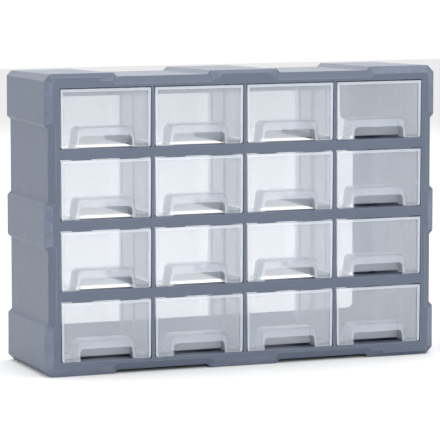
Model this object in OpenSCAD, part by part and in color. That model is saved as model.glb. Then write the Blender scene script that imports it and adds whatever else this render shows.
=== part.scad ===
// Free-standing parts bin cabinet: a moulded housing with four rows of four drawers.
// The front plane is at the lowest Y, the feet stand on Z = 0, and X and Y are centred.

/* [Openings] */
// Width of one drawer opening
opening_w = 117.6; // [100:0.1:150]
// Height of one drawer opening
opening_h = 74; // [60:0.5:100]
// Width of a post between two openings
post_w = 3.8; // [3:0.1:8]
// Height of a shelf bar between two rows
bar_h = 12.4; // [11:0.1:24]
// Border from an outer opening to the side of the housing
side_border = 19.1; // [18:0.1:40]
// Border from an outer opening to the top or the base of the housing
end_border = 17.4; // [17:0.1:40]
// Depth of the posts, front to back
post_d = 5; // [3:0.5:7]
// Depth of the shelf bars and of the lips over and under the openings, front to back
bar_d = 18; // [12:0.5:30]
// Wall of the shelf bar channels and of those lips
grid_wall = 2.4; // [1.6:0.1:3]

/* [Housing] */
// Room behind the rear wall of a closed drawer, out to the rear plane
rear_room = 21; // [17:0.5:120]
// Wall of the outer shell
shell_wall = 2.4; // [1.6:0.1:3]
// How far the top and each side draw in towards the rear
taper = 4; // [1:0.1:6]
// Step down from the front frame to the shell at their seam
seam_step = 0.3; // [0:0.05:0.6]
// Width of the bevel round the front, seen from the front
bevel_w = 9; // [6:0.1:9]
// Depth of the bevel round the front
bevel_d = 5; // [3:0.1:8]
// Flat edge of the front frame behind the bevel
land_d = 2; // [1:0.1:4]
// Skin of the hollow border of the front frame
border_skin = 2.6; // [2:0.1:3]
// Thickness of the rear frame
rear_t = 3; // [2:0.1:5]

/* [Blocks on the outline] */
// Size of the 45 degree chamfer at each corner of the housing
corner_chamfer = 8.5; // [8:0.1:14]
// Height of the raised blocks over the faces between them
block_rise = 4.6; // [2:0.1:5]
// Length of a corner block along the top or the base
end_corner_run = 89.2; // [60:0.1:100]
// Half length of the middle block of the top or the base
end_mid_half = 44.1; // [40:0.1:60]
// Height of a corner block up a side
side_corner_run = 62; // [40:0.5:70]
// Half height of the middle block of a side
side_mid_half = 26.5; // [15:0.5:35]
// Half length of the flat front of the top middle block
pad_half = 31; // [20:0.5:34]
// Drop from the top of that block to the top edge of its flat front
pad_drop = 4; // [2:0.1:5]
// How far that flat front runs down past the bevel
pad_foot = 1.4; // [1:0.1:2]

/* [Rear frame] */
// Border from the side of the housing to the rear opening
rear_side = 41; // [36:0.5:60]
// Border from the top of the housing to the rear opening
rear_top = 38.5; // [34:0.5:60]
// Border from the base of the housing to the rear opening
rear_base = 41; // [34:0.5:60]
// Radius of the lower corners of the rear opening
rear_r = 8; // [4:0.5:20]
// Width of the ear in each top corner of the rear opening
ear_w = 19; // [12:0.5:30]
// Height of the ear in each top corner of the rear opening
ear_h = 41; // [24:0.5:60]
// Radius of the free corner of that ear
ear_r = 11; // [4:0.5:12]

/* [Runners] */
// Gap between the side walls of a closed drawer and its ledges
runner_gap = 0.3; // [0.2:0.05:0.4]
// How far a ledge reaches in past the side of a drawer
ledge_reach = 6; // [4:0.5:12]
// Thickness of a ledge
ledge_t = 1.5; // [1.2:0.1:2.4]
// Thickness of the strip that joins the runners of a row, behind the shelf bar
strip_t = 2.4; // [1.6:0.1:4]
// Height of that strip
strip_h = 9; // [6:0.1:9]
// Length of the bracket under each runner, back from the strip
bracket_l = 64; // [30:1:100]
// Height of the bracket at the strip
bracket_h = 7; // [3:0.5:8]
// Height of the guide fences on a runner
fence_h = 3; // [2:0.5:8]
// Thickness of a guide fence
fence_t = 1.6; // [1.2:0.1:2]
// Gap between a guide fence and the side of a drawer
fence_gap = 0.8; // [0.4:0.1:1.2]
// Length of the closing stop behind a drawer
stop_t = 3; // [2:0.5:6]
// Height of the closing stop over its ledge
stop_h = 5; // [4:0.5:12]
// Gap between a closed drawer and its closing stop
stop_gap = 0.3; // [0.2:0.05:0.6]

/* [Drawer] */
// Depth of a drawer over its front and its rear wall
drawer_d = 139; // [120:0.5:240]
// Gap at each side of a drawer front
side_gap = 0.9; // [0.5:0.1:1.5]
// Gap over a drawer front
top_gap = 1.4; // [1.3:0.1:2]
// Gap under a drawer front
base_gap = 0.6; // [0.4:0.1:1]
// How far the front stands out past each side wall
front_flange = 2.9; // [2:0.1:5]
// Thickness of the drawer front
front_t = 2; // [1.2:0.1:3]
// How far each side of the front draws in towards its base
front_draft = 0.65; // [0:0.05:1.2]
// Radius of the lower corners of the front
front_r = 2.5; // [1:0.1:4]
// Thickness of the lip that runs back from the top and the sides of the front
lip_t = 1.2; // [0.8:0.1:1.8]
// How far that lip runs back
lip_d = 4; // [2:0.5:8]
// Thickness of the side walls, the rear wall and the hood
drawer_wall = 1.6; // [1.2:0.1:2.4]
// Thickness of the drawer floor
floor_t = 1.6; // [1.2:0.1:2.4]
// Height of the floor over the lower edges of the front and the side walls
floor_lift = 2.4; // [1:0.1:5]
// Drop from the top of the front to the top of the walls
wall_drop = 3; // [2:0.5:10]
// Width of the stop ear on the rear wall
stop_ear_w = 30; // [16:1:60]
// Rise of the stop ear over the top of the opening
stop_ear_rise = 2.4; // [1.5:0.1:2.4]

/* [Finger pull] */
// Width of the notch in the lower edge of the front
notch_w = 67.8; // [50:0.1:70]
// Height of the notch
notch_h = 15; // [12:0.5:20]
// Radius of the upper corners of the notch
notch_r = 5; // [2:0.5:8]
// Width of the hood behind the notch at its base
hood_base_w = 80; // [78:0.5:90]
// Width of the hood at its top
hood_top_w = 74; // [74:0.5:78]
// Height of the hood over the lower edge of the front
hood_h = 25.9; // [24:0.1:34]
// Depth of the hood behind the front
hood_d = 23; // [16:0.5:30]
// Radius of the upper corners of the hood
hood_r = 7; // [4:0.5:8]

/* [Divider ribs] */
// Distance from the front to the first pair of ribs
rib_first = 46; // [40:0.5:60]
// Distance from the first pair of ribs to the second
rib_pitch = 44; // [30:0.5:50]
// Width of one rib
rib_t = 1.2; // [0.8:0.1:2]
// How far a rib stands out from the wall
rib_depth = 1.2; // [0.8:0.1:2]
// Slot between the two ribs of a pair
rib_slot = 1.8; // [1:0.1:3]
// Drop from the top of the walls to the top of a rib
rib_drop = 3; // [1:0.5:10]

/* [Shelf bar tabs] */
// Width of one tab under a shelf bar
tab_w = 25; // [10:0.5:30]
// Height of a tab
tab_h = 1.2; // [0.6:0.1:1.2]
// Depth of a tab, back from the front plane
tab_d = 3; // [1:0.5:6]
// Distance from the middle of an opening to the middle of a tab
tab_offset = 31.3; // [20:0.1:36]

/* [Hidden] */

// The housing holds four rows of four drawers.
columns = 4;
rows = 4;
// Overcut that keeps a cutting face off the face it passes through
over = 1;
// How far the roots of the blocks reach into the body of the housing
block_root = 16;
// Steps in each rounded corner
arc_steps = 6;

housing_colour = [0.42, 0.46, 0.55];
runner_colour = [0.36, 0.40, 0.50];
drawer_colour = [0.88, 0.89, 0.93, 0.6];

column_pitch = opening_w + post_w;
row_pitch = opening_h + bar_h;
grid_w = columns * opening_w + (columns - 1) * post_w;
grid_h = rows * opening_h + (rows - 1) * bar_h;
case_w = grid_w + 2 * side_border;
case_h = grid_h + 2 * end_border;
case_d = drawer_d + rear_room;

front_y = -case_d / 2;
rear_y = case_d / 2;
bevel_y = front_y + bevel_d;
seam_y = bevel_y + land_d;
bar_y = front_y + bar_d;
rear_frame_y = rear_y - rear_t;

// Lower edge of a row of openings and middle of a column of openings, counted from 1
function row_z(row) = end_border + (rows - row) * row_pitch;
function column_x(column) = (opening_w - grid_w) / 2 + (column - 1) * column_pitch;
// Middle of the post or side wall to the left of a column
function post_x(column) = column_x(column) - column_pitch / 2;

// Sizes of a drawer, measured from the lower edge of its front
panel_w = opening_w - 2 * side_gap;
panel_h = opening_h - top_gap - base_gap;
box_w = panel_w - 2 * front_flange;
wall_top = panel_h - wall_drop;
drawer_rear_y = front_y + drawer_d;

// Runners, measured from the lower edge of an opening and from the middle of a post
ledge_z = base_gap - runner_gap;
box_side = post_w / 2 + side_gap + front_flange;
ledge_x = box_side + ledge_reach;
fence_x = box_side - fence_gap;

// Outline of the housing drawn in by d at the top and sides and by b at the base,
// as [x, z] points, counterclockwise seen from the front
function half_outline(d, b) =
    let (
        s = d * tan(22.5),
        u = b * tan(22.5),
        w = case_w / 2,
        h = case_h,
        r = block_rise,
        top_c = corner_chamfer - 2 * s / sqrt(2),
        base_c = corner_chamfer - (s + u) / sqrt(2),
        low = side_corner_run,
        mid = side_mid_half,
        run = w - end_corner_run
    )
    [
        [end_mid_half - u, b],
        [end_mid_half + r - u, b + r],
        [run - r + u, b + r],
        [run + u, b],
        [w - d - base_c, b],
        [w - d, b + base_c],
        [w - d, low - s],
        [w - d - r, low + r - s],
        [w - d - r, h / 2 - mid - r + s],
        [w - d, h / 2 - mid + s],
        [w - d, h / 2 + mid - s],
        [w - d - r, h / 2 + mid + r - s],
        [w - d - r, h - low - r + s],
        [w - d, h - low + s],
        [w - d, h - d - top_c],
        [w - d - top_c, h - d],
        [run + s, h - d],
        [run - r + s, h - d - r],
        [end_mid_half + r - s, h - d - r],
        [end_mid_half - s, h - d]
    ];
function outline(d, b) =
    let (right = half_outline(d, b), n = len(right))
    concat(right, [for (i = [n - 1:-1:0]) [-right[i].x, right[i].y]]);

// Points of an arc about [x, z]
function arc(x, z, r, from, to) =
    [for (i = [0:arc_steps])
        let (a = from + (to - from) * i / arc_steps)
        [x + r * cos(a), z + r * sin(a)]];

// An arch: half widths at its base and top, its base and top heights and its corner radius
function arch(half_base, half_top, low, high, r) =
    concat(
        [[-half_base, low], [half_base, low]],
        arc(half_top - r, high - r, r, 0, 90),
        arc(r - half_top, high - r, r, 90, 180)
    );

// Extrudes an outline drawn in x and z from y = from to y = to
module slab(from, to) {
    translate([0, to, 0])
        rotate([90, 0, 0])
            linear_extrude(to - from)
                children();
}

// Box between two corners
module box(low, high) {
    translate(low)
        cube(high - low);
}

// Convex prism from y = from to y = to over counterclockwise points. insets holds a pair for each
// edge: how far its face lies inside the edge at y1 and at y2.
module drafted(points, insets, y1, y2, from, to) {
    n = len(points);
    far = case_w + case_h;
    difference() {
        slab(from, to)
            polygon(points);
        for (i = [0:n - 1])
            if (max(insets[i]) > 0) {
                edge = points[(i + 1) % n] - points[i];
                slope = (insets[i][1] - insets[i][0]) / (y2 - y1);
                front = insets[i][0] + slope * (from - over - y1);
                rear = insets[i][0] + slope * (to + over - y1);
                outside = min(front, rear, 0) - over;
                translate([points[i].x, 0, points[i].y])
                    rotate([0, atan2(-edge.x, -edge.y), 0])
                        translate([0, 0, -far / 2])
                            linear_extrude(far)
                                polygon([
                                    [outside, from - over], [front, from - over],
                                    [rear, to + over], [outside, to + over]
                                ]);
            }
    }
}

// The whole outline as drafted blocks on a drafted body. d is the pair of insets of the top and
// the sides, b that of the base.
module drafted_housing(d, b, y1, y2, from, to) {
    w = case_w / 2;
    h = case_h;
    r = block_rise;
    root = r + block_root;
    run = w - end_corner_run;
    none = [0, 0];
    drafted(
        [[r - w, r], [w - r, r], [w - r, h - r], [r - w, h - r]],
        [b, d, d, d], y1, y2, from, to
    );
    // Middle blocks of the top and the base
    drafted(
        [
            [-end_mid_half - root, h - root], [end_mid_half + root, h - root],
            [end_mid_half, h], [-end_mid_half, h]
        ],
        [none, d, d, d], y1, y2, from, to
    );
    drafted(
        [
            [-end_mid_half, 0], [end_mid_half, 0],
            [end_mid_half + root, root], [-end_mid_half - root, root]
        ],
        [b, b, none, b], y1, y2, from, to
    );
    for (side = [0, 1])
        mirror([side, 0, 0]) {
            // Middle block of a side
            drafted(
                [
                    [w - root, h / 2 - side_mid_half - root], [w, h / 2 - side_mid_half],
                    [w, h / 2 + side_mid_half], [w - root, h / 2 + side_mid_half + root]
                ],
                [d, d, d, none], y1, y2, from, to
            );
            // Upper corner block
            drafted(
                [
                    [w, h - side_corner_run], [w, h - corner_chamfer],
                    [w - corner_chamfer, h], [run, h],
                    [run - root, h - root], [w - root, h - side_corner_run - root]
                ],
                [d, d, d, d, none, d], y1, y2, from, to
            );
            // Lower corner block
            drafted(
                [
                    [run, 0], [w - corner_chamfer, 0],
                    [w, corner_chamfer], [w, side_corner_run],
                    [w - root, side_corner_run + root], [run - root, root]
                ],
                [b, (b + d) / 2, d, d, none, b], y1, y2, from, to
            );
        }
}

// Runs its children at the lower left corner of every opening
module each_opening() {
    for (row = [1:rows])
        for (column = [1:columns])
            translate([column_x(column) - opening_w / 2, 0, row_z(row)])
                children();
}

// ---- Front frame ----

// Plate with the bevel round it
module bevelled_plate() {
    inset = [bevel_w, 0];
    drafted_housing(inset, inset, front_y, bevel_y, front_y, seam_y);
}

// Flat front of the top middle block, which has no bevel of its own
module middle_pad() {
    wide = end_mid_half + block_rise;
    fall = block_rise + bevel_w + pad_foot - pad_drop;
    foot = case_h - pad_drop - fall - bevel_w;
    side = [wide - pad_half - fall, 0];
    corner = [(end_mid_half - pad_half + pad_drop) / sqrt(2), 0];
    drafted(
        [
            [-wide, foot], [wide, foot], [wide, case_h - block_rise],
            [end_mid_half, case_h], [-end_mid_half, case_h], [-wide, case_h - block_rise]
        ],
        [[0, 0], side, corner, [pad_drop, 0], corner, side],
        front_y, bevel_y, front_y, bevel_y
    );
}

// Block that the posts, the shelf bars and the lips are cut from
module grid_block() {
    box(
        [-grid_w / 2, front_y, end_border - grid_wall],
        [grid_w / 2, bar_y, end_border + grid_h + grid_wall]
    );
}

// Hollow behind the border in two steps, which leaves the border's skin behind the bevel
module border_hollow() {
    slope = norm([bevel_d, bevel_w]);
    deep = (bevel_d * bevel_w + border_skin * (slope - bevel_w)) / bevel_d;
    for (step = [[front_y + border_skin, deep], [bevel_y, shell_wall]])
        slab(step[0], seam_y + over)
            difference() {
                polygon(outline(step[1], step[1]));
                translate([-grid_w / 2 - grid_wall, end_border - grid_wall])
                    square([grid_w + 2 * grid_wall, grid_h + 2 * grid_wall]);
            }
}

module front_frame() {
    color(housing_colour)
    union() {
        difference() {
            union() {
                bevelled_plate();
                middle_pad();
                grid_block();
            }
            border_hollow();
            // Openings
            each_opening()
                box([0, front_y - over, 0], [opening_w, bar_y + over, opening_h]);
            // Space behind the posts
            for (row = [1:rows])
                translate([0, 0, row_z(row)])
                    box([-grid_w / 2, front_y + post_d, 0], [grid_w / 2, bar_y + over, opening_h]);
            // Channels in the shelf bars, open to the rear
            for (row = [1:rows - 1])
                for (column = [1:columns])
                    translate([column_x(column) - opening_w / 2, 0, row_z(row) - bar_h])
                        box(
                            [0, front_y + grid_wall, grid_wall],
                            [opening_w, bar_y + over, bar_h - grid_wall]
                        );
        }
        // Tabs under the shelf bars
        for (row = [2:rows])
            for (column = [1:columns])
                for (side = [-1, 1])
                    translate([column_x(column) + side * tab_offset, front_y, row_z(row) + opening_h])
                        box([-tab_w / 2, 0, -tab_h], [tab_w / 2, tab_d, over]);
    }
}

// ---- Outer shell ----

// How far the shell has drawn in at y
function draw_in(y) = seam_step + (taper - seam_step) * (y - seam_y) / (rear_frame_y - seam_y);

module outer_shell() {
    ends = [draw_in(seam_y), draw_in(rear_frame_y)];
    wall = [shell_wall, shell_wall];
    color(housing_colour)
    difference() {
        drafted_housing(ends, [0, 0], seam_y, rear_frame_y, seam_y, rear_frame_y);
        drafted_housing(ends + wall, wall, seam_y, rear_frame_y, seam_y - over, rear_frame_y + over);
    }
}

// ---- Rear frame ----

module rear_frame() {
    x = case_w / 2 - rear_side;
    top = case_h - rear_top;
    color(housing_colour)
    slab(rear_frame_y, rear_y)
    difference() {
        polygon(outline(taper, 0));
        polygon(concat(
            arc(rear_r - x, rear_base + rear_r, rear_r, 180, 270),
            arc(x - rear_r, rear_base + rear_r, rear_r, 270, 360),
            [[x, top - ear_h]],
            [for (i = [arc_steps:-1:0])
                arc(x - ear_w + ear_r, top - ear_h + ear_r, ear_r, 180, 270)[i]],
            [[x - ear_w, top], [ear_w - x, top]],
            [for (i = [arc_steps:-1:0])
                arc(ear_w - x - ear_r, top - ear_h + ear_r, ear_r, 270, 360)[i]],
            [[-x, top - ear_h]]
        ));
    }
}

// ---- Runners ----

// Half of a runner: ledge, guide fence and closing stop on its left, side = -1, or right, side = 1
module runner_half(side) {
    end_y = drawer_rear_y + stop_gap + stop_t;
    mirror([side < 0 ? 1 : 0, 0, 0]) {
        box([0, bar_y, -ledge_t], [ledge_x, end_y, 0]);
        box([fence_x - fence_t, bar_y, -ledge_t / 2], [fence_x, end_y, fence_h]);
        box([fence_x - fence_t, end_y - stop_t, -ledge_t / 2], [ledge_x, end_y, stop_h]);
    }
}

// Tapered bracket under a runner
module bracket() {
    translate([-post_w / 2, 0, 0])
        rotate([90, 0, 90])
            linear_extrude(post_w)
                polygon([
                    [bar_y, -ledge_t / 2], [bar_y, -ledge_t - bracket_h],
                    [bar_y + strip_t, -ledge_t - bracket_h],
                    [bar_y + strip_t + bracket_l, -ledge_t / 2]
                ]);
}

// The runners of one row on the strip that lies behind the shelf bar under them
module runners(row) {
    color(runner_colour)
    translate([0, 0, row_z(row)]) {
        box(
            [-grid_w / 2 - post_w, bar_y, -strip_h],
            [grid_w / 2 + post_w, bar_y + strip_t, 0]
        );
        for (column = [1:columns + 1])
            translate([post_x(column), 0, ledge_z]) {
                bracket();
                if (column > 1) runner_half(-1);
                if (column <= columns) runner_half(1);
            }
    }
}

module runners_row_1() { runners(1); }
module runners_row_2() { runners(2); }
module runners_row_3() { runners(3); }
module runners_row_4() { runners(4); }

// ---- Drawers ----

// Front with its notch, in the drawer's own place: y = 0 at the front, z = 0 at its lower edge
module drawer_front() {
    slab(0, front_t)
    difference() {
        polygon(concat(
            arc(front_draft + front_r - panel_w / 2, front_r, front_r, 180, 270),
            arc(panel_w / 2 - front_draft - front_r, front_r, front_r, 270, 360),
            [[panel_w / 2, panel_h], [-panel_w / 2, panel_h]]
        ));
        polygon(arch(notch_w / 2, notch_w / 2, -over, notch_h, notch_r));
    }
}

// Lip behind the top and the sides of the front
module front_lip() {
    half = panel_w / 2;
    slab(front_t, front_t + lip_d)
    difference() {
        polygon([
            [front_draft - half, front_r], [half - front_draft, front_r],
            [half, panel_h], [-half, panel_h]
        ]);
        polygon([
            [front_draft + lip_t - half, front_r - over], [half - front_draft - lip_t, front_r - over],
            [half - lip_t, panel_h - lip_t], [lip_t - half, panel_h - lip_t]
        ]);
    }
}

// Space under the hood, open through the floor and under the rear wall of the hood
module hood_space() {
    inner = hood_base_w / 2 - drawer_wall;
    box([-inner, front_t - over, -over], [inner, front_t + hood_d + over, floor_lift]);
    slab(front_t - over, front_t + hood_d - drawer_wall)
        polygon(arch(
            hood_base_w / 2 - drawer_wall, hood_top_w / 2 - drawer_wall,
            floor_lift - over, hood_h - drawer_wall, hood_r - drawer_wall
        ));
}

module hood() {
    slab(front_t, front_t + hood_d)
        polygon(arch(hood_base_w / 2, hood_top_w / 2, 0, hood_h, hood_r));
}

// Floor and walls, with the ribs that take dividers. The side walls run down past the floor and
// slide on the ledges.
module drawer_box() {
    half = box_w / 2;
    difference() {
        box([-half, front_t, 0], [half, drawer_d, wall_top]);
        box(
            [drawer_wall - half, front_t - over, floor_lift + floor_t],
            [half - drawer_wall, drawer_d - drawer_wall, wall_top + over]
        );
        box(
            [drawer_wall - half, front_t - over, -over],
            [half - drawer_wall, drawer_d + over, floor_lift]
        );
    }
    for (side = [0, 1])
        mirror([side, 0, 0])
            for (pair = [0, 1])
                for (edge = [-1, 1])
                    translate([half - drawer_wall, rib_first + pair * rib_pitch, 0])
                        translate([0, edge * (rib_slot + rib_t) / 2, 0])
                            box(
                                [-rib_depth, -rib_t / 2, floor_lift],
                                [drawer_wall / 2, rib_t / 2, wall_top - rib_drop]
                            );
}

// Ear on the rear wall that meets the back of the shelf bar when the drawer is pulled out
module stop_ear() {
    box(
        [-stop_ear_w / 2, drawer_d - drawer_wall, wall_top - wall_drop],
        [stop_ear_w / 2, drawer_d, opening_h - base_gap + stop_ear_rise]
    );
}

module drawer(row, column) {
    color(drawer_colour)
    translate([column_x(column), front_y, row_z(row) + base_gap]) {
        drawer_front();
        front_lip();
        difference() {
            union() {
                drawer_box();
                hood();
            }
            hood_space();
        }
        stop_ear();
    }
}

module drawer_r1c1() { drawer(1, 1); }
module drawer_r1c2() { drawer(1, 2); }
module drawer_r1c3() { drawer(1, 3); }
module drawer_r1c4() { drawer(1, 4); }
module drawer_r2c1() { drawer(2, 1); }
module drawer_r2c2() { drawer(2, 2); }
module drawer_r2c3() { drawer(2, 3); }
module drawer_r2c4() { drawer(2, 4); }
module drawer_r3c1() { drawer(3, 1); }
module drawer_r3c2() { drawer(3, 2); }
module drawer_r3c3() { drawer(3, 3); }
module drawer_r3c4() { drawer(3, 4); }
module drawer_r4c1() { drawer(4, 1); }
module drawer_r4c2() { drawer(4, 2); }
module drawer_r4c3() { drawer(4, 3); }
module drawer_r4c4() { drawer(4, 4); }

front_frame();
outer_shell();
rear_frame();
runners_row_1();
runners_row_2();
runners_row_3();
runners_row_4();
drawer_r1c1();
drawer_r1c2();
drawer_r1c3();
drawer_r1c4();
drawer_r2c1();
drawer_r2c2();
drawer_r2c3();
drawer_r2c4();
drawer_r3c1();
drawer_r3c2();
drawer_r3c3();
drawer_r3c4();
drawer_r4c1();
drawer_r4c2();
drawer_r4c3();
drawer_r4c4();
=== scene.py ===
import math

import bmesh
import bpy
from mathutils import Matrix, Vector


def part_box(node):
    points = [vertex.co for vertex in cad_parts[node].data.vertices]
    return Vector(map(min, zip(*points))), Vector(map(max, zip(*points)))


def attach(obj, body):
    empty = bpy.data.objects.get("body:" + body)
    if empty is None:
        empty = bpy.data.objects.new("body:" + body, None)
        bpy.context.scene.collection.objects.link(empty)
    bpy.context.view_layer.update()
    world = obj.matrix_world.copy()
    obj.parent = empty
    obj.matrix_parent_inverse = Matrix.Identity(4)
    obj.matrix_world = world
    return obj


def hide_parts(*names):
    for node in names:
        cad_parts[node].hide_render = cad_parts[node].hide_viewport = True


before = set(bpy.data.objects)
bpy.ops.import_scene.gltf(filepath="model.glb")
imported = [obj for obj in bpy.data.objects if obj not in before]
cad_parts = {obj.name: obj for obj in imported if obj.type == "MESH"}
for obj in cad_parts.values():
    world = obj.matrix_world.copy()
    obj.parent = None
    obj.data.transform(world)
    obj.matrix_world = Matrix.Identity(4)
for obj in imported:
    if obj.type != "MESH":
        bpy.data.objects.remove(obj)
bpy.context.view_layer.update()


# ---- Shader maths ----

class Reading:
    """A shader socket that takes part in sums; numbers work on either side."""

    def __init__(self, finish, socket):
        self.finish = finish
        self.socket = socket

    def _sum(self, operation, first, second):
        return self.finish.node(
            "ShaderNodeMath", {"operation": operation}, {0: first, 1: second})

    def __add__(self, other):
        return self._sum("ADD", self, other)

    __radd__ = __add__

    def __sub__(self, other):
        return self._sum("SUBTRACT", self, other)

    def __rsub__(self, other):
        return self._sum("SUBTRACT", other, self)

    def __mul__(self, other):
        return self._sum("MULTIPLY", self, other)

    __rmul__ = __mul__

    def __truediv__(self, other):
        return self._sum("DIVIDE", self, other)

    def __rtruediv__(self, other):
        return self._sum("DIVIDE", other, self)

    def clamp(self):
        return self._sum("MINIMUM", self._sum("MAXIMUM", self, 0.0), 1.0)

    def above(self, edge, soft):
        """0 below edge, 1 above it, with a ramp of width soft."""
        return ((self - edge) / soft + 0.5).clamp()


class Finish:
    """One procedural material."""

    def __init__(self, name):
        self.material = bpy.data.materials.new(name)
        self.material.use_nodes = True
        self.tree = self.material.node_tree
        self.tree.nodes.clear()
        self.place = self.node("ShaderNodeTexCoord", out="Object")

    def node(self, kind, settings=None, inputs=None, out=None):
        """Adds a node and gives the reading of one output: out, or the first that is on."""
        made = self.tree.nodes.new(kind)
        for name, value in (settings or {}).items():
            setattr(made, name, value)
        for name, value in (inputs or {}).items():
            socket = made.inputs[name]
            if isinstance(value, Reading):
                self.tree.links.new(value.socket, socket)
            else:
                socket.default_value = value
        outputs = [o for o in made.outputs if o.enabled]
        chosen = made.outputs[out] if out is not None else outputs[0]
        return Reading(self, chosen)

    def noise(self, scale, detail=2.0, rough=0.5, stretch=(1, 1, 1)):
        at = self.node("ShaderNodeMapping", None, {"Vector": self.place, "Scale": stretch})
        return self.node(
            "ShaderNodeTexNoise", None,
            {"Vector": at, "Scale": scale, "Detail": detail, "Roughness": rough}, out=0)

    def blend(self, amount, first, second):
        return self.node(
            "ShaderNodeMix", {"data_type": "RGBA"}, {0: amount, 6: first, 7: second}, out=2)

    def attribute(self, name):
        return self.node("ShaderNodeAttribute", {"attribute_name": name}, out="Fac")

    def bump(self, height, strength, distance):
        return self.node(
            "ShaderNodeBump", None,
            {"Height": height, "Strength": strength, "Distance": distance})

    def surface(self, shader):
        output = self.tree.nodes.new("ShaderNodeOutputMaterial")
        self.tree.links.new(shader.socket, output.inputs["Surface"])
        return self.material


def tone(r, g, b):
    """Linear colour from sRGB levels of 0 to 255."""
    def one(v):
        v = v / 255
        return v / 12.92 if v <= 0.04045 else ((v + 0.055) / 1.055) ** 2.4
    return (one(r), one(g), one(b), 1.0)


# ---- Plastics ----

HOUSING_ROUGH = 0.43
HOUSING_GRAIN = 0.22        # strength of the moulded grain
HOUSING_GRAIN_DEPTH = 0.0004
EDGE_HIGHLIGHT_TINT = 0.45          # how far a rounded edge is painted toward the lighter tone, a painted highlight

DRAWER_ROUGH = 0.30
DRAWER_ALPHA = 0.255        # a single thin wall
THICK_ALPHA = 0.5           # what a full thick_rim mark adds to it
DRAWER_WAVE = 0.05          # strength of the faint unevenness of its faces
DRAWER_WAVE_DEPTH = 0.0003


def moulded_housing(name, base, deep, highlight_tone, grain=1.0):
    """Satin moulded polypropylene: fine grain, faint flow marks, and rounded edges painted a
    little lighter as a painted highlight.
    """
    f = Finish(name)
    flow = f.noise(9.0, 3.0, 0.55, (1.0, 1.0, 2.2))
    mottle = f.noise(60.0, 4.0, 0.6)
    fine = f.noise(1500.0, 2.0, 0.6)
    pits = f.node(
        "ShaderNodeTexVoronoi", {"feature": "F1"}, {"Vector": f.place, "Scale": 1100.0}, out=0)
    # Painted highlight: the rounded edges are painted toward a lighter tone in patches, and made a
    # little smoother
    highlight_mask = f.attribute("painted_edge_highlight") * (mottle + fine).above(0.95, 0.5)
    body = f.blend((flow * 0.6 + mottle * 0.4).above(0.5, 0.5), deep, base)
    colour = f.blend(highlight_mask * EDGE_HIGHLIGHT_TINT, body, highlight_tone)
    normal = f.bump(fine * 0.6 + pits * 0.4, HOUSING_GRAIN * grain, HOUSING_GRAIN_DEPTH)
    rough = HOUSING_ROUGH + (mottle - 0.5) * 0.14 + (fine - 0.5) * 0.08 - highlight_mask * 0.08
    shader = f.node("ShaderNodeBsdfPrincipled", None, {
        "Base Color": colour, "Roughness": rough, "Normal": normal,
        "IOR": 1.47, "Specular IOR Level": 0.5})
    return f.surface(shader)


def milky_drawer(name):
    """Translucent polypropylene: milky haze, satin faces, flow lines, denser where it is thick."""
    f = Finish(name)
    flow = f.noise(14.0, 3.0, 0.6, (1.0, 1.0, 0.35))
    haze = f.noise(45.0, 3.0, 0.55)
    fine = f.noise(900.0, 2.0, 0.5)
    thick = f.attribute("thick_rim")
    colour = f.blend(flow.above(0.5, 0.6), tone(205, 212, 222), tone(214, 220, 229))
    alpha = DRAWER_ALPHA + (haze - 0.5) * 0.05 + (flow - 0.5) * 0.05 + thick * THICK_ALPHA
    normal = f.bump(fine, DRAWER_WAVE, DRAWER_WAVE_DEPTH)
    rough = DRAWER_ROUGH + (haze - 0.5) * 0.12
    shader = f.node("ShaderNodeBsdfPrincipled", None, {
        "Base Color": colour, "Roughness": rough, "Alpha": alpha, "Normal": normal,
        "IOR": 1.49, "Specular IOR Level": 0.5})
    return f.surface(shader)


# The last tone of each finish is the lighter tone painted on rounded edges as a highlight
housing_finish = moulded_housing(
    "housing_plastic_finish", tone(85, 94, 111), tone(79, 88, 105), tone(122, 130, 146))
runner_finish = moulded_housing(
    "runner_plastic_finish", tone(78, 86, 103), tone(72, 80, 97), tone(110, 118, 134), 0.6)
drawer_finish = milky_drawer("drawer_plastic_finish")


# ---- Places, all from the frame ----

front_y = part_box("front_frame")[0].y
rear_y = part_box("rear_frame")[1].y
seam_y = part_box("outer_shell")[0].y


# ---- Rounded mouldings ----

MERGE = 2e-6                     # corners nearer than this are one
SLIVER = 2e-5                    # edges shorter than this are closed up
FLAT = math.radians(0.3)         # faces that turn less than this are one
TURNS = math.radians(12)         # edges that turn less than this aren't rounded
SMOOTH = math.radians(38)        # rounds are shaded smooth up to this
SAME_Y = 1e-4
LEVEL_RUN = 0.1                  # an edge that runs less than this along Y lies across it
STEEP_RUN = 0.9                  # an edge that runs more than this along Y goes front to rear
FACES_ALONG = 0.9                # a face that turns this much to Y is a front or a rear

HOUSING_ROUND = 0.0006
REAR_ROUND = 0.0005
HOUSING_STEPS = 3
HOUSING_SHORTEST = 0.002         # shorter edges of the housing aren't rounded
SEAM_MARGIN = 0.001              # the seam keeps its sharp edges


class Edge:
    """What the tests read of one edge of a moulding: its middle, its run and its two faces."""

    def __init__(self, edge):
        first, second = (v.co for v in edge.verts)
        self.middle = (first + second) / 2
        self.run = (second - first).normalized()
        self.length = (second - first).length
        self.convex = edge.is_manifold and edge.is_convex and edge.calc_face_angle() > TURNS
        self.normals = [face.normal for face in edge.link_faces]

    def at_y(self, y):
        return abs(self.middle.y - y) < SAME_Y and abs(self.run.y) < LEVEL_RUN


def activate(piece):
    """Selects the piece alone."""
    bpy.ops.object.select_all(action="DESELECT")
    bpy.context.view_layer.objects.active = piece
    piece.select_set(True)


def moulding(node, name):
    """A merged copy of a node's mesh, as the active object."""
    piece = bpy.data.objects.new(name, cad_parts[node].data.copy())
    bpy.context.collection.objects.link(piece)
    activate(piece)
    bpy.ops.object.mode_set(mode="EDIT")
    bpy.ops.mesh.select_all(action="SELECT")
    bpy.ops.mesh.remove_doubles(threshold=MERGE)
    bpy.ops.mesh.dissolve_limited(angle_limit=FLAT)
    bpy.ops.object.mode_set(mode="OBJECT")
    return piece


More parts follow.
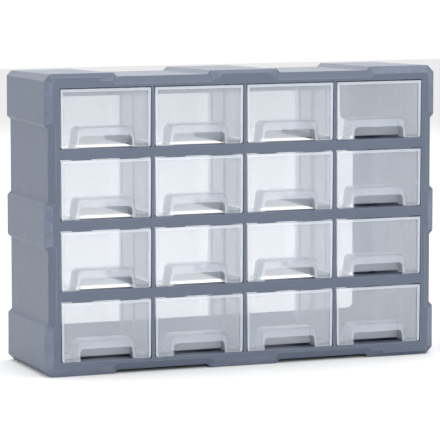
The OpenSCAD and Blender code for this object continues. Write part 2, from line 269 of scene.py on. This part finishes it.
def mark_faces(piece, name, value, test):
    """Sets the face attribute name to value on the faces that pass the test."""
    mesh = piece.data
    layer = mesh.attributes.get(name) or mesh.attributes.new(name, "FLOAT", "FACE")
    for face in mesh.polygons:
        if test(face):
            layer.data[face.index].value = value


def round_edges(piece, radius, steps, mark, test):
    """Rounds the convex edges that pass the test and, with a mark, marks the new faces."""
    if mark:
        piece.data.attributes.new(mark, "FLOAT", "FACE")
    bpy.ops.object.mode_set(mode="EDIT")
    bpy.ops.mesh.select_mode(type="EDGE")
    bpy.ops.mesh.select_all(action="DESELECT")
    bm = bmesh.from_edit_mesh(piece.data)
    for edge in bm.edges:
        if edge.is_manifold:
            seen = Edge(edge)
            edge.select_set(seen.convex and test(seen))
    bmesh.update_edit_mesh(piece.data)
    bpy.ops.mesh.bevel(
        offset=radius, offset_type="OFFSET", segments=steps, profile=0.5,
        affect="EDGES", clamp_overlap=True)
    if mark:
        bm = bmesh.from_edit_mesh(piece.data)
        layer = bm.faces.layers.float[mark]
        for face in bm.faces:
            if face.select:
                face[layer] = 1.0
        bmesh.update_edit_mesh(piece.data)
    bpy.ops.object.mode_set(mode="OBJECT")


def finish_moulding(piece, finish):
    """Smooth rounds between flat faces, and the finish."""
    activate(piece)
    bpy.ops.object.mode_set(mode="EDIT")
    bpy.ops.mesh.select_all(action="SELECT")
    bpy.ops.mesh.dissolve_degenerate(threshold=SLIVER)
    bpy.ops.object.mode_set(mode="OBJECT")
    bpy.ops.object.shade_smooth_by_angle(angle=SMOOTH)
    even = piece.modifiers.new("even_shading", "WEIGHTED_NORMAL")
    even.keep_sharp = True
    bpy.ops.object.modifier_apply(modifier=even.name)
    piece.data.materials.clear()
    piece.data.materials.append(finish)


def stand_for(piece, node, body):
    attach(piece, body)
    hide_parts(node)


def housing_moulding(node, radius, test):
    """A moulding of the housing, its edges rounded and marked for the painted highlight."""
    piece = moulding(node, node + "_moulding")
    round_edges(piece, radius, HOUSING_STEPS, "painted_edge_highlight", test)
    finish_moulding(piece, housing_finish)
    stand_for(piece, node, "housing")


def front_frame_edge(edge):
    """The edges of the front face, and those of the bevel and the openings up to the seam."""
    if edge.length <= HOUSING_SHORTEST:
        return False
    along_front = edge.at_y(front_y)
    before_seam = edge.middle.y < seam_y - SEAM_MARGIN
    beside_flat = max(abs(normal.y) for normal in edge.normals) >= FACES_ALONG
    return along_front or (before_seam and not beside_flat)


def outer_shell_edge(edge):
    """The edges of the blocks, which run from the seam to the rear."""
    return abs(edge.run.y) > STEEP_RUN


def rear_frame_edge(edge):
    return edge.at_y(rear_y)


# ---- Drawers, sizes from the drawer's own lower left front corner ----

DRAWER_ROUND = 0.0004
DRAWER_STEPS = 2
DRAWER_SHORTEST = 0.0025         # shorter edges of a drawer aren't rounded

RIM_W = 0.0034
RIM_RISE = 0.0004
SAME_PLANE = 1e-5
FACES_FRONT = -0.99

PANEL_BACK = 0.0021              # just behind the front panel
HOOD_HALF = 0.0402
HOOD_TOP = 0.0261
HOOD_BACK = 0.0242
LIP_FRONT, LIP_BACK = 0.0019, 0.0062
LIP_SIDE = 0.0562
WALL_TOP = 0.069
LIP_LOW = WALL_TOP + 0.0005
WALL_EDGE_LOW = WALL_TOP - 0.0006
RIM_DEEP = RIM_RISE * 0.7
RIM_LOW = 0.001
FACES_UP = 0.5

HOOD_MARK = 0.5
WALL_EDGE_MARK = 0.6
LIP_MARK = 0.3
RIM_MARK = 0.6


def pick(piece, kind, test):
    """Selects the vertices or faces that pass the test, in edit mode."""
    bpy.ops.mesh.select_mode(type=kind)
    bpy.ops.mesh.select_all(action="DESELECT")
    bm = bmesh.from_edit_mesh(piece.data)
    for item in bm.verts if kind == "VERT" else bm.faces:
        if test(item):
            item.select_set(True)
    bm.select_flush_mode()
    bmesh.update_edit_mesh(piece.data)


def raise_rim(piece):
    """Sets the front of a drawer back by the rim's height and raises a rim at top and sides."""
    front = min(v.co.y for v in piece.data.vertices)
    panel = [v.co for v in piece.data.vertices if v.co.y < front + SAME_PLANE]
    left, right = min(c.x for c in panel) + RIM_W, max(c.x for c in panel) - RIM_W
    top = max(c.z for c in panel) - RIM_W

    def on_front(face):
        near = face.calc_center_median().y < front + 1.5 * RIM_RISE
        return near and face.normal.y < FACES_FRONT

    def in_rim(face):
        middle = face.calc_center_median()
        return on_front(face) and (middle.x < left or middle.x > right or middle.z > top)

    bpy.ops.object.mode_set(mode="EDIT")
    pick(piece, "VERT", lambda vert: vert.co.y < front + SAME_PLANE)
    bpy.ops.transform.translate(value=(0.0, RIM_RISE, 0.0))
    cuts = (((left, 0, 0), (1, 0, 0)), ((right, 0, 0), (1, 0, 0)), ((0, 0, top), (0, 0, 1)))
    for place, across in cuts:
        pick(piece, "FACE", on_front)
        bpy.ops.mesh.bisect(plane_co=place, plane_no=across)
    pick(piece, "FACE", in_rim)
    bpy.ops.mesh.extrude_region_move(TRANSFORM_OT_translate={"value": (0.0, -RIM_RISE, 0.0)})
    bpy.ops.object.mode_set(mode="OBJECT")


def drawer_pattern(node):
    """The drawer of one node, with its rim, its edges rounded and its thick places marked."""
    piece = moulding(node, "drawer_pattern")
    low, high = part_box(node)
    middle = (low.x + high.x) / 2
    raise_rim(piece)
    round_edges(piece, DRAWER_ROUND, DRAWER_STEPS, None, lambda e: e.length > DRAWER_SHORTEST)
    finish_moulding(piece, drawer_finish)

    def aside(face):
        return abs(face.center.x - middle)

    def behind(face):
        return face.center.y - low.y

    def height(face):
        return face.center.z - low.z

    def hood(face):
        return (aside(face) < HOOD_HALF and PANEL_BACK < behind(face) < HOOD_BACK
                and height(face) < HOOD_TOP)

    def wall_edge(face):
        return (behind(face) > LIP_BACK and height(face) > WALL_EDGE_LOW
                and face.normal.z > FACES_UP)

    def lip(face):
        return (LIP_FRONT < behind(face) < LIP_BACK
                and (aside(face) > LIP_SIDE or height(face) > LIP_LOW))

    def rim(face):
        return behind(face) < RIM_DEEP and height(face) > RIM_LOW

    # A later mark takes the place of an earlier one
    marks = ((HOOD_MARK, hood), (WALL_EDGE_MARK, wall_edge), (LIP_MARK, lip), (RIM_MARK, rim))
    for value, test in marks:
        mark_faces(piece, "thick_rim", value, test)
    return piece


def copy_drawers(pattern, node):
    """A moulding for every drawer, each with a mesh of its own in its own place."""
    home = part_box(node)[0]
    for name in sorted(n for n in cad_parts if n.startswith("drawer_")):
        mesh = pattern.data.copy()
        mesh.transform(Matrix.Translation(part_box(name)[0] - home))
        piece = bpy.data.objects.new(name + "_moulding", mesh)
        bpy.context.collection.objects.link(piece)
        stand_for(piece, name, name)
    bpy.data.objects.remove(pattern)


# ---- Runners ----

def dress_runners():
    """The runners keep the CAD shape and only get their plastic."""
    for node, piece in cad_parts.items():
        if node.startswith("runner"):
            for slot in piece.material_slots:
                slot.material = runner_finish


dress_runners()
housing_moulding("front_frame", HOUSING_ROUND, front_frame_edge)
housing_moulding("outer_shell", HOUSING_ROUND, outer_shell_edge)
housing_moulding("rear_frame", REAR_ROUND, rear_frame_edge)
copy_drawers(drawer_pattern("drawer_r1c1"), "drawer_r1c1")


# ---- Floor, light and camera ----

FLOOR_SIZE = 12.0
FLOOR_ROUGH = 0.9
SKY_STRENGTH = 1.02

# Name, place, aim, size of the panel and power in watts
SOFTBOXES = (
    ("overhead_softbox", (0.1, 0.2, 2.2), (0.0, 0.0, 0.2), (2.4, 1.6), 24.0),
    ("upper_front_softbox", (0.7, -1.7, 2.0), (0.0, 0.0, 0.3), (2.2, 1.0), 9.0),
    ("front_softbox", (-0.4, -2.8, 1.2), (0.0, 0.0, 0.15), (1.8, 1.4), 28.0),
    ("rear_softbox", (1.1, 3.0, 1.7), (0.0, 0.0, 0.3), (3.6, 1.6), 20.0),
    ("left_softbox", (-2.6, 0.9, 1.1), (0.0, 0.0, 0.15), (1.8, 1.4), 20.0),
)

# The camera as fitted to the photograph, with its lengths in pixels of the frame
FRAME_PX = 440.0
FOCAL_PX = 2930.0
DROP_PX = 66.1
SENSOR_MM = 36.0
CAMERA_PLACE = (-1.3838, -3.4008, 0.5808)
CAMERA_YAW, CAMERA_PITCH = math.radians(22.125), math.radians(5.034)
CLIP_NEAR, CLIP_FAR = 0.1, 30.0


def studio_floor():
    bpy.ops.object.select_all(action="DESELECT")
    bpy.ops.mesh.primitive_plane_add(size=FLOOR_SIZE, location=(0.0, 0.0, 0.0))
    floor = bpy.context.object
    floor.name = "studio_floor"
    f = Finish("studio_floor_finish")
    cloud = f.noise(0.8, 2.0, 0.5)
    shade = f.blend(cloud, (0.78, 0.78, 0.78, 1.0), (0.80, 0.80, 0.80, 1.0))
    shader = f.node(
        "ShaderNodeBsdfPrincipled", None, {"Base Color": shade, "Roughness": FLOOR_ROUGH})
    floor.data.materials.append(f.surface(shader))


def studio_sky():
    world = bpy.data.worlds.new("studio_world")
    bpy.context.scene.world = world
    world.use_nodes = True
    background = world.node_tree.nodes["Background"]
    background.inputs["Color"].default_value = (1.0, 1.0, 1.0, 1.0)
    background.inputs["Strength"].default_value = SKY_STRENGTH


def softbox(name, place, aim, size, power):
    """A rectangular light that the camera doesn't see."""
    data = bpy.data.lights.new(name, "AREA")
    data.shape = "RECTANGLE"
    data.size, data.size_y = size
    data.energy = power
    box = bpy.data.objects.new(name, data)
    bpy.context.collection.objects.link(box)
    box.location = place
    box.rotation_euler = (Vector(aim) - Vector(place)).to_track_quat("-Z", "Y").to_euler()
    box.visible_camera = False


def photo_camera():
    data = bpy.data.cameras.new("photo_camera")
    data.sensor_width = SENSOR_MM
    data.lens = FOCAL_PX / FRAME_PX * SENSOR_MM
    data.shift_y = -DROP_PX / FRAME_PX
    data.clip_start, data.clip_end = CLIP_NEAR, CLIP_FAR
    eye = bpy.data.objects.new("photo_camera", data)
    bpy.context.collection.objects.link(eye)
    eye.location = CAMERA_PLACE
    eye.rotation_euler = (math.pi / 2 - CAMERA_PITCH, 0.0, -CAMERA_YAW)
    bpy.context.scene.camera = eye


studio_floor()
studio_sky()
for lamp in SOFTBOXES:
    softbox(*lamp)
photo_camera()
bpy.context.scene.view_settings.view_transform = "Standard"
